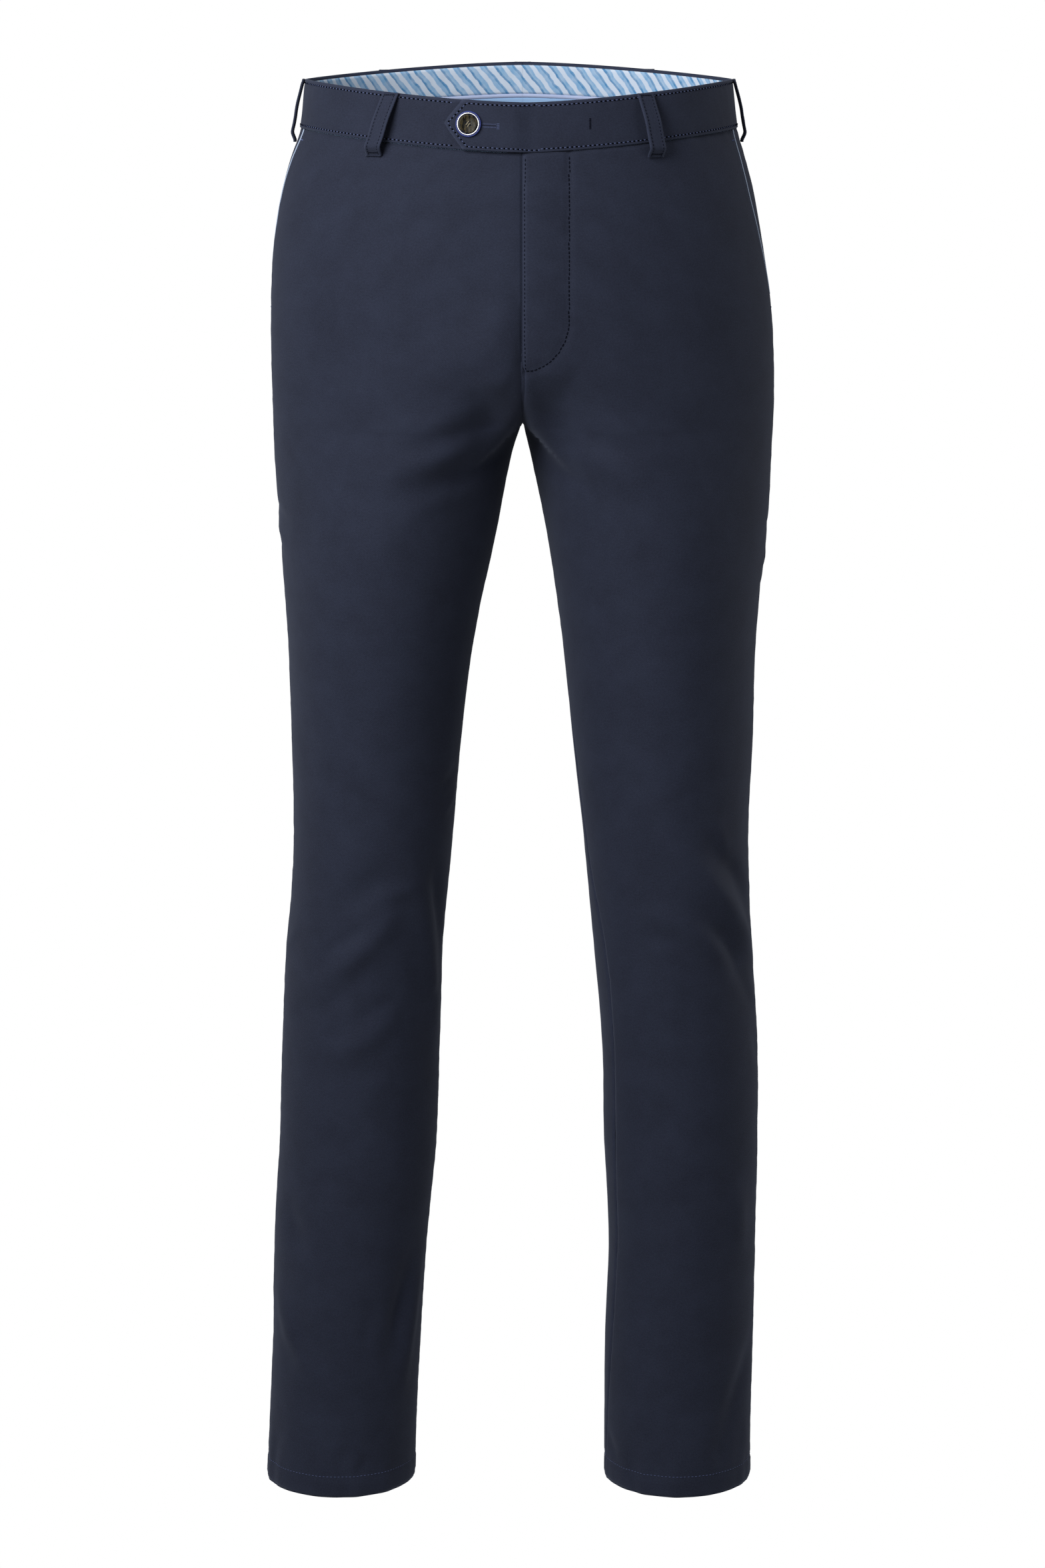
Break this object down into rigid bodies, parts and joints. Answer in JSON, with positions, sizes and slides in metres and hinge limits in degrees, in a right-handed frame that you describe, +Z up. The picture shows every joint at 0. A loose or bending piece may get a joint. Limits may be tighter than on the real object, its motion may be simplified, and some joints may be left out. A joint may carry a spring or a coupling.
{
  "type": "chino trousers",
  "caption": "Slim chino trousers in navy cotton twill, filled out as if worn, with a button tab waistband, belt loops and slant pockets, open at waist and hems",
  "frame": {"origin": "middle of the waist opening, level with the waistband's top edge at the sides, where the wearer holds the garment up", "axes": "+Z up along the body, -Y is the front, so +X is the wearer's left side"},
  "size_m": [0.3946, 0.2593, 1.1072],
  "materials": {
    "outer_cloth": "matt navy cotton twill",
    "striped_lining": "light blue and white striped cotton",
    "piping": "plain lavender-blue cotton",
    "curtain": "plain light blue cotton",
    "edging": "plain pale blue cotton",
    "zip_tape": "woven tape with metal teeth",
    "zip_metal": "plain cast metal",
    "button_rim": "polished dark blue",
    "button_metal": "polished ring",
    "horn": "streaked horn look"
  },
  "bodies": {
    "root": {"front_right": "outer_cloth", "back_right": "outer_cloth", "front_left": "outer_cloth", "back_left": "outer_cloth", "hem_right": "outer_cloth", "hem_left": "outer_cloth", "waistband_right": "outer_cloth", "waistband_left": "outer_cloth", "band_lining_right": "striped_lining", "band_piping_right": "piping", "band_curtain_right": "curtain", "band_lining_left": "striped_lining", "band_piping_left": "piping", "band_curtain_left": "curtain", "loop_front_right": "outer_cloth", "loop_front_left": "outer_cloth", "loop_side_right": "outer_cloth", "loop_side_left": "outer_cloth", "loop_back_right": "outer_cloth", "loop_back_left": "outer_cloth", "loop_back_centre": "outer_cloth", "pocket_facing_right": "outer_cloth", "pocket_edging_right": "edging", "pocket_facing_left": "outer_cloth", "pocket_edging_left": "edging", "fly_facing": "outer_cloth", "zip_tape": "zip_tape", "zip_slider": "zip_metal", "back_welt_right": "outer_cloth", "back_welt_left": "outer_cloth", "button_rim": "button_rim", "button_ring": "button_metal", "button_face": "horn"}
  },
  "joints": []
}
